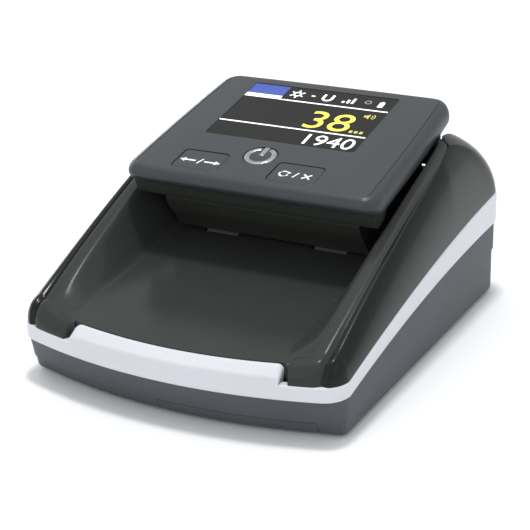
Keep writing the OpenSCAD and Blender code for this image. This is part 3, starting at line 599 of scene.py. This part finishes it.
# stations across the tray; the outer ones serve both sides
OUTER_X = [48.1, 48.6, 49.1, 49.7, 50.4, 51.2, 51.9, 52.4, 52.9, 53.4, 53.9, 54.4, 55, 55.6,
           56.2, 56.7, 57.2, 57.6, 58, 58.3, 58.6, 58.9, EDGE_X]
RIGHT_X = [0, 8, 16, 24, 32, 38, 41, 42, 42.6, 43.2, 43.8, 44.4, 45.0, 45.55, 45.65, 46.1, 46.6,
           47.1, 47.6] + OUTER_X
LEFT_X = [8, 16, 24, 32, 36, 39.55, 39.65, 40.1, 40.6, 41.1, 41.6, 42.1, 42.6, 43.1, 43.6, 44.2,
          44.8, 45.4, 46, 46.7, 47.4] + OUTER_X
TRAY_SHARES = [(i / 44) ** 1.25 for i in range(45)]        # front to rear
NOSE_STEPS = 17
NOTCH_DEPTH = 5.6                      # set-back of the rail right beside the lip
FLOOR_SETBACK = 5.4                    # set-back of the floor behind the lip
TRAY_REAR = 46.3


def edge_x(y):
    """Outer edge of the rail, seen from above."""
    if y < 30:
        return EDGE_X
    return EDGE_X - 1.3 * (y - 30) / 12 if y < 42 else 57.9 - (y - 42)


def tray_top(x):
    """Top points from the front edge to the rear at one station."""
    across = abs(x)
    nose_x = (LIP_RIGHT if x > 0 else LIP_LEFT)[0] + NOSE_GAP
    is_nose = across > nose_x - 0.02
    lift = smooth_step((across - nose_x) / 3.0)            # 0 in the notch beside the lip
    front = front_y(across)
    start = front + (NOTCH_DEPTH + (NOSE_DEPTH - NOTCH_DEPTH) * lift if is_nose
                     else FLOOR_SETBACK)
    top_z = rail_z(across, start)
    points = []
    for i in range(NOSE_STEPS):
        if not is_nose:
            points.append((x, start, top_z - 1.2 * (1 - i / NOSE_STEPS)))
            continue
        a = math.radians(90) * i / NOSE_STEPS
        c, s = math.cos(a), math.sin(a)
        foot_y, foot_z = front + 0.5, band_high(front)
        y = start + (foot_y - start) * c * lift + (1 - lift) * (-1.1 * c)
        z = foot_z + (top_z - foot_z) * (s * lift + (1 - lift) * min(1, s * 2))
        depth = groove(across, y)
        points.append((x, y + depth * c, z - depth * s))
    for share in TRAY_SHARES:
        y = start + (TRAY_REAR - start) * share
        z = rail_z(across, y) - groove(across, y)
        wide = across if across < 50 else 50 + (across - 50) * (edge_x(y) - 50) / (EDGE_X - 50)
        points.append((math.copysign(wide, x), y, z))
    return points


def tray_section(x):
    top = tray_top(x)
    across = abs(x)
    front = front_y(across) + 5.9
    under = [(px, y + (1.6 if y < front and across > 39.6 else 0.0), z - 1.9)
             for px, y, z in top[::-1]]
    return top + under


rings = [tray_section(x) for x in [-a for a in LEFT_X[::-1]] + RIGHT_X]
tray = make_mesh("tray_body", *sweep(rings, caps=True), "tray", 40)
# side profile of the flat tail under the head: along the floor, above it
TAIL = [(38.0, -1.8), (38.0, -0.02), (80.2, -0.02), (80.6, -0.15), (80.8, -0.5), (80.8, -1.8)]
rings = [[on_floor(x, along, above) for along, above in TAIL] for x in (-45, 45)]
tail = make_mesh("tray_tail", *sweep(rings, caps=True), "tray", 30)
# wells: x from and to, along from and to, above from and to
small_wells = [(x0, x1, along - 5.5, along + 5.5, -5, 2)
               for x0, x1 in ((-32, -16), (16, 32)) for along in (10, 46)]
wide_wells = [(-38, 38, 20, 36, -6, 3), (-41, 41, 18, 38, -1.2, 3)]
cut(tray, [box_cutter(*well, on_floor) for well in small_wells + wide_wells], 62)
cut(tail, [box_cutter(*well, on_floor) for well in small_wells[1::2]], 30)   # the rear pair
for obj in (tray, tail):
    finish_piece(obj, "base", "tray_insert")

# ------------------------------------------------------------------ head: top shell

HEAD_L = 83.1
HEAD_HALF_W, HEAD_TAPER = 53.9, 2.3    # half width in front, and how much it loses behind
HEAD_FRONT_R, HEAD_REAR_R = 6.6, 7.9
FRONT_FLAT = HEAD_HALF_W - HEAD_FRONT_R
REAR_FLAT = HEAD_HALF_W - HEAD_TAPER - HEAD_REAR_R
TAPER_END = HEAD_L - HEAD_REAR_R
Z_MAX = max(p[2] for p in size_frame) * 1000 - 0.005       # stays inside the frame's height

KEY_V, KEY_XS = 11, (-24.5, 16.5)      # centres of the keys
KEY_OPENING = (20.0, 14.0)
POWER_AT = (-3, 20)
DISPLAY_AT = (-1.5, 54.0)


def head_outline():
    """Outline of the top face: x, v and outward normal."""
    half = [(FRONT_FLAT * i / 24, -0.4 * (1 - (i / 24) ** 2), 0.0, -1.0) for i in range(24)]
    half += corner_arc(FRONT_FLAT, HEAD_FRONT_R, HEAD_FRONT_R, -math.pi / 2, 16)
    for i in range(1, 40):
        v = HEAD_FRONT_R + (TAPER_END - HEAD_FRONT_R) * i / 40
        half.append((HEAD_HALF_W - HEAD_TAPER * (v / TAPER_END) ** 2, v, 1.0, 0.0))
    half += corner_arc(REAR_FLAT, TAPER_END, HEAD_REAR_R, 0, 16)
    for i in range(1, 17):
        x = REAR_FLAT * (1 - i / 16)
        half.append((x, HEAD_L + 0.3 * (1 - (x / REAR_FLAT) ** 2), 0.0, 1.0))
    return half + [(-x, v, -nx, nv) for x, v, nx, nv in half[-2:0:-1]]


HEAD_OUTLINE = head_outline()


def head_ring(side, front, rear, w, dip=0.0):
    """The outline at level w, inset by side, front and rear; dip lowers the long edges."""
    out = []
    for x, v, nx, nv in HEAD_OUTLINE:
        inset = front if nv < 0 else rear
        px, y, z = on_head(x - nx * side, v - nv * inset, w - dip * abs(nx) ** 3)
        out.append((px, y, min(z, Z_MAX)))
    return out


# rings as inset at side, front and rear, then level
FLANK = [(0.5, 2.6, 0.9, -8.0), (0.1, 1.1, 0.3, -6.8), (0.0, -0.5, 0.0, -5.2),
         (0.2, -1.2, 0.1, -3.6), (0.8, -0.7, 0.5, -2.0), (1.8, 0.3, 1.2, -0.9),
         (3.2, 1.5, 2.2, -0.22)]
# the same and dip: a fine groove runs beside each long edge
TOP_EDGE = [(3.75, 1.85, 2.6, -0.12, 0.0), (3.95, 2.0, 2.75, -0.09, 0.3),
            (4.25, 2.2, 2.95, -0.06, 0.3), (4.45, 2.35, 3.05, -0.04, 0.0),
            (5.0, 2.8, 3.4, 0.0, 0.0)]
INSIDE = [(2.5, 4.6, 2.6, -8.0), (2.2, 2.2, 2.2, -5.6), (2.8, 2.0, 2.8, -3.2),
          (5.2, 3.6, 4.4, -2.2)]


def catmull_rom(rows, steps):
    """Smooth curve through the rows, with steps points per span."""
    rows = [np.array(row, float) for row in rows]
    padded = [2 * rows[0] - rows[1]] + rows + [2 * rows[-1] - rows[-2]]
    out = []
    for p0, p1, p2, p3 in zip(padded, padded[1:], padded[2:], padded[3:]):
        for j in range(steps):
            t = j / steps
            out.append(0.5 * ((2 * p1) + (-p0 + p2) * t + (2 * p0 - 5 * p1 + 4 * p2 - p3) * t * t
                              + (-p0 + 3 * p1 - 3 * p2 + p3) * t ** 3))
    return out + [rows[-1]]


rings = [head_ring(*INSIDE[0])]
rings += [head_ring(*insets, min(w, -0.2)) for *insets, w in catmull_rom(FLANK, 5)]
rings += [head_ring(*row) for row in TOP_EDGE]
count = len(HEAD_OUTLINE)
verts, faces = sweep(rings)
faces.append(tuple(range(len(verts) - count, len(verts))))           # top face
starts = [0] + [len(verts) + i * count for i in range(3)]
for row in INSIDE[1:]:
    verts += head_ring(*row)
for lower, upper in zip(starts, starts[1:]):
    faces += ring_quads(lower, upper, count)
faces.append(tuple(range(starts[-1], starts[-1] + count)))           # ceiling inside
head = make_mesh("head_shell_body", verts, faces, "head", 34)
cutters = [cutter(round_rect(*DISPLAY_AT, 65, 45, 1.2), on_head, -1.9, 2),
           cutter(round_rect(*DISPLAY_AT, 62, 42, 1.0), on_head, -9, 1)]
cutters += [cutter(round_rect(x, KEY_V, *KEY_OPENING, 2.2), on_head, -9, 1) for x in KEY_XS]
cutters.append(cutter(circle(*POWER_AT, 7.0), on_head, -9, 1))
cut(head, cutters, 34)
finish_piece(head, "head", "head_top_shell")

# ------------------------------------------------------------------ keys and power button

KEY_W, KEY_H = (size - 0.4 for size in KEY_OPENING)
# added to width, added to height, corner radius, level
KEY_ROWS = [(2, -0.4, 1.5, -3.0), (2, -0.4, 1.5, -2.4), (0, -0.4, 2.0, -2.35),
            (0, 0, 2.0, -2.3), (0, 0, 2.0, -0.5), (-0.12, -0.12, 1.95, -0.32),
            (-0.4, -0.4, 1.85, -0.18), (-0.9, -0.9, 1.7, -0.12), (-1.6, -1.6, 1.4, -0.1)]
# radius, level
POWER_ROWS = [(7.7, -3.0), (7.7, -2.35), (6.8, -2.3), (6.8, -0.5), (6.72, -0.3), (6.5, -0.16),
              (6.1, -0.1)]


def cap(name, rows, body, piece):
    """Closed stack of outlines on the head, from rows of (outline, level)."""
    rings = [[on_head(x, v, w) for x, v in points] for points, w in rows]
    obj = make_mesh(name, *sweep(rings, caps=True), "key", 34)
    finish_piece(obj, body, piece)


for side, x in zip(("left", "right"), KEY_XS):
    cap(f"{side}_key_cap", [(round_rect(x, KEY_V, KEY_W + dw, KEY_H + dh, radius), w)
                            for dw, dh, radius, w in KEY_ROWS], f"{side}_key", f"key_{side}")
cap("power_disc", [(circle(*POWER_AT, radius), w) for radius, w in POWER_ROWS],
    "power_key", "power_button")


def ridge(name, place, half, steps, low=-0.14, high=0.24, around=12):
    """Rounded raised strip; place(share, offset) gives x, v along and across it."""
    rings = []
    for i in range(steps + 1):
        end = min(1.0, min(i, steps - i) / 3 + 0.25)       # lower at both ends
        ring = []
        for j in range(around + 1):
            b = math.pi * j / around
            w = low + (high - low) * math.sin(b) ** 0.8 * math.sqrt(end)
            ring.append(on_head(*place(i / steps, half * math.cos(b)), w))
        rings.append(ring)
    obj = make_mesh(name, *sweep(rings, caps=True), "chrome", 50)
    finish_piece(obj, "power_key", "power_button")


def power_arc(share, offset):
    a = math.radians(112 + (428 - 112) * share)
    radius = 5.35 + offset
    return POWER_AT[0] + radius * math.cos(a), POWER_AT[1] + radius * math.sin(a)


def power_stem(share, offset):
    return POWER_AT[0] + offset, 20.2 + (26.6 - 20.2) * share


ridge("power_ring", power_arc, half=1.0, steps=56)
ridge("power_bar", power_stem, half=0.95, steps=20)

# ------------------------------------------------------------------ printed and lit marks
# thin raised layers: bottom and top level

SCREEN_LAYER = (-0.148, -0.12)
KEY_LAYER = (-0.11, -0.07)


def marks(name, shapes, key, body="head", layer=SCREEN_LAYER):
    verts, faces = [], []
    for shape in shapes:
        shape_verts, shape_faces = prism(shape, on_head, *layer)
        first = len(verts)
        verts += shape_verts
        faces += [tuple(i + first for i in face) for face in shape_faces]
    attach(make_mesh(name, verts, faces, key, 30, merge=0.0005), body)


def stroke(x0, y0, x1, y1, thick):
    """A straight line as a quad that runs a little past its ends."""
    length = math.hypot(x1 - x0, y1 - y0)
    ux, uy = (x1 - x0) / length, (y1 - y0) / length
    past = thick * 0.28
    ax, ay, bx, by = x0 - ux * past, y0 - uy * past, x1 + ux * past, y1 + uy * past
    nx, ny = -uy * thick / 2, ux * thick / 2
    return [(ax + nx, ay + ny), (ax - nx, ay - ny), (bx - nx, by - ny), (bx + nx, by + ny)]


def arc(cx, cy, radius, start, end, thick, steps):
    """Arc band split into quads; angles in degrees."""
    out = []
    inner, outer = radius - thick / 2, radius + thick / 2
    for i in range(steps):
        a, b = (math.radians(start + (end - start) * k / steps) for k in (i, i + 1))
        out.append([(cx + r * math.cos(t), cy + r * math.sin(t))
                    for r, t in ((inner, a), (inner, b), (outer, b), (outer, a))])
    return out


def arrow(cx, cy, direction, scale):
    return [(cx + direction * 2.4 * scale, cy),
            (cx - direction * 0.6 * scale, cy + 1.7 * scale),
            (cx - direction * 0.6 * scale, cy - 1.7 * scale)]


def numerals(name, text, right, base, height, stretch, key):
    """Digits on the display, right-aligned at right, as a closed mesh."""
    curve = bpy.data.curves.new(name, "FONT")
    curve.body = text
    curve.align_x = "RIGHT"
    curve.size = 1.0
    curve.extrude = 0.5
    curve.resolution_u = 6
    source = bpy.data.objects.new(name + "_src", curve)
    collection.objects.link(source)
    depsgraph = bpy.context.evaluated_depsgraph_get()
    depsgraph.update()
    data = bpy.data.meshes.new_from_object(source.evaluated_get(depsgraph))
    bpy.data.objects.remove(source)
    bpy.data.curves.remove(curve)
    points = np.array([v.co[:] for v in data.vertices])
    low, high = points.min(0), points.max(0)
    scale = height / (high[1] - low[1])
    verts = [on_head(right - (high[0] - x) * scale * stretch, base + (y - low[1]) * scale,
                     -0.135 + 0.02 * (z - low[2]) / (high[2] - low[2])) for x, y, z in points]
    faces = [tuple(p.vertices) for p in data.polygons]
    bpy.data.meshes.remove(data)
    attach(make_mesh(name, verts, faces, key, 30, merge=1e-5), "head")


marks("screen_block_blue", [rect(-33.9, -17.6, 67.9, 75.9)], "lit_blue")
marks("screen_strip_white", [rect(-33.9, -17.6, 64.9, 67.8)], "lit_white")
marks("screen_rules", [rect(-17.6, 30.4, 64.7, 65.5), rect(-33.9, 30.4, 43.15, 43.95)],
      "lit_white")
# a ring with rays, a horseshoe with a dash before it, and three rising bars
LAMP_X, LAMP_V = -12.2, 70.9
symbols = arc(LAMP_X, LAMP_V, 1.5, 0, 360, 0.85, 20)
for i in range(6):
    c, s = math.cos(math.radians(60 * i + 30)), math.sin(math.radians(60 * i + 30))
    symbols.append(stroke(LAMP_X + 2.35 * c, LAMP_V + 2.35 * s,
                          LAMP_X + 3.1 * c, LAMP_V + 3.1 * s, 0.7))
symbols += arc(1.6, 70.4, 1.9, 180, 360, 1.1, 12)
symbols += [rect(-0.85, 0.25, 70.4, 73.4), rect(2.95, 4.05, 70.4, 73.4)]
symbols.append(stroke(-5.6, 70.9, -4.4, 70.9, 0.8))
symbols += [rect(8.6 + 2.0 * i, 9.7 + 2.0 * i, 68.5, 69.9 + 1.5 * i) for i in range(3)]
marks("screen_symbols", symbols, "lit_white")
marks("screen_mark_grey", arc(19.4, 71.2, 1.25, 0, 360, 0.6, 16), "lit_grey")
marks("screen_battery", [rect(24.3, 26.5, 68.2, 72.3), rect(24.95, 25.85, 72.4, 72.9)],
      "lit_white")
speaker = [rect(22.6, 23.5, 59.1, 60.7), [(23.6, 59.1), (24.9, 58.0), (24.9, 61.8), (23.6, 60.7)]]
for radius in (1.5, 2.5):
    speaker += arc(24.7, 59.9, radius, -45, 45, 0.45, 6)
marks("screen_speaker", speaker, "lit_pale")
marks("screen_unit_mark", [rect(22.0 + 2.2 * i, 23.4 + 2.2 * i, 45.9, 47.7) for i in range(3)],
      "lit_pale")
numerals("screen_digits_large", "38", right=20.8, base=45.6, height=13.8, stretch=1.08,
         key="lit_yellow")
numerals("screen_digits_small", "1940", right=28.6, base=33.2, height=7.9, stretch=1.04,
         key="lit_white")

# two outward arrows with a slash between them
marks("left_key_icon", [
    arrow(-31.2, 10.2, -1, 0.8), rect(-30.9, -26.2, 9.75, 10.65),
    arrow(-17.4, 10.2, 1, 0.8), rect(-22.4, -17.7, 9.75, 10.65),
    stroke(-24.8, 8.6, -23.6, 11.9, 0.6)], "white", "left_key", KEY_LAYER)
# a circling arrow, a slash and a cross
marks("right_key_icon", arc(12.0, 10.2, 1.75, 60, 350, 0.75, 16) + [
    arrow(13.55, 11.2, 1, 0.5),
    stroke(16.3, 8.6, 17.5, 11.9, 0.6),
    stroke(20.1, 8.8, 23.0, 11.6, 0.75),
    stroke(20.1, 11.6, 21.25, 10.5, 0.75),
    stroke(21.85, 9.9, 23.0, 8.8, 0.75)], "white", "right_key", KEY_LAYER)

# ------------------------------------------------------------------ floor, light, camera

MATERIALS["floor"] = material("floor_pale", (246, 247, 248), rough=0.75, spec=0.1, vary=0.004,
                              bump=0.0, rough_vary=0.02, patch=3)
corners = [(x, y, -0.1) for x, y in rect(-4000, 4000, -4000, 4000)]
make_mesh("floor", corners, [(0, 1, 2, 3)], "floor")

world = bpy.data.worlds.new("studio")
scene.world = world
world.use_nodes = True
background = world.node_tree.nodes["Background"]
background.inputs["Color"].default_value = (0.955, 0.975, 1.0, 1)
background.inputs["Strength"].default_value = 0.78


def area_light(name, place, target, size, power, color=(1, 1, 1), size_y=None):
    light = bpy.data.lights.new(name, "AREA")
    light.energy = power
    light.color = color
    light.size = size
    if size_y:
        light.shape = "RECTANGLE"
        light.size_y = size_y
    obj = bpy.data.objects.new(name, light)
    collection.objects.link(obj)
    turn = (Vector(target) - Vector(place)).to_track_quat("-Z", "Y")
    obj.matrix_world = Matrix.Translation(place) @ turn.to_matrix().to_4x4()


area_light("top_soft", place=(-0.25, 0.15, 1.5), target=(0, 0, 0.03), size=1.2, power=3.0)
area_light("top_key", place=(0.0, 0.03, 1.25), target=(0, -0.02, 0.03), size=0.16, power=6.5)
area_light("side_soft", place=(1.3, -0.25, 0.75), target=(0, 0, 0.03), size=0.9, power=0.9,
           color=(0.97, 0.98, 1.0))
area_light("front_soft", place=(-0.35, -1.3, 0.55), target=(0, 0, 0.03), size=0.8, power=1.3,
           color=(0.98, 0.99, 1.0))
area_light("rear_strip", place=(-1.0, 0.75, 0.24), target=(0, 0, 0.05), size=0.8, power=2.2,
           color=(0.93, 0.96, 1.0), size_y=0.22)

lens = bpy.data.cameras.new("camera")
lens.lens = 103.07
lens.sensor_width = 36
lens.shift_x = -0.0255
lens.shift_y = 0.0006
lens.clip_start = 0.02
lens.clip_end = 20
camera = bpy.data.objects.new("camera", lens)
collection.objects.link(camera)
camera.matrix_world = Matrix((
    (0.88548222, -0.15833699, 0.43686455, 0.26312),
    (0.46413565, 0.34658954, -0.81514035, -0.48244),
    (-0.02234581, 0.92455670, 0.38038871, 0.25483),
    (0, 0, 0, 1)))
scene.camera = camera
scene.view_settings.view_transform = "Standard"
scene.view_settings.look = "None"
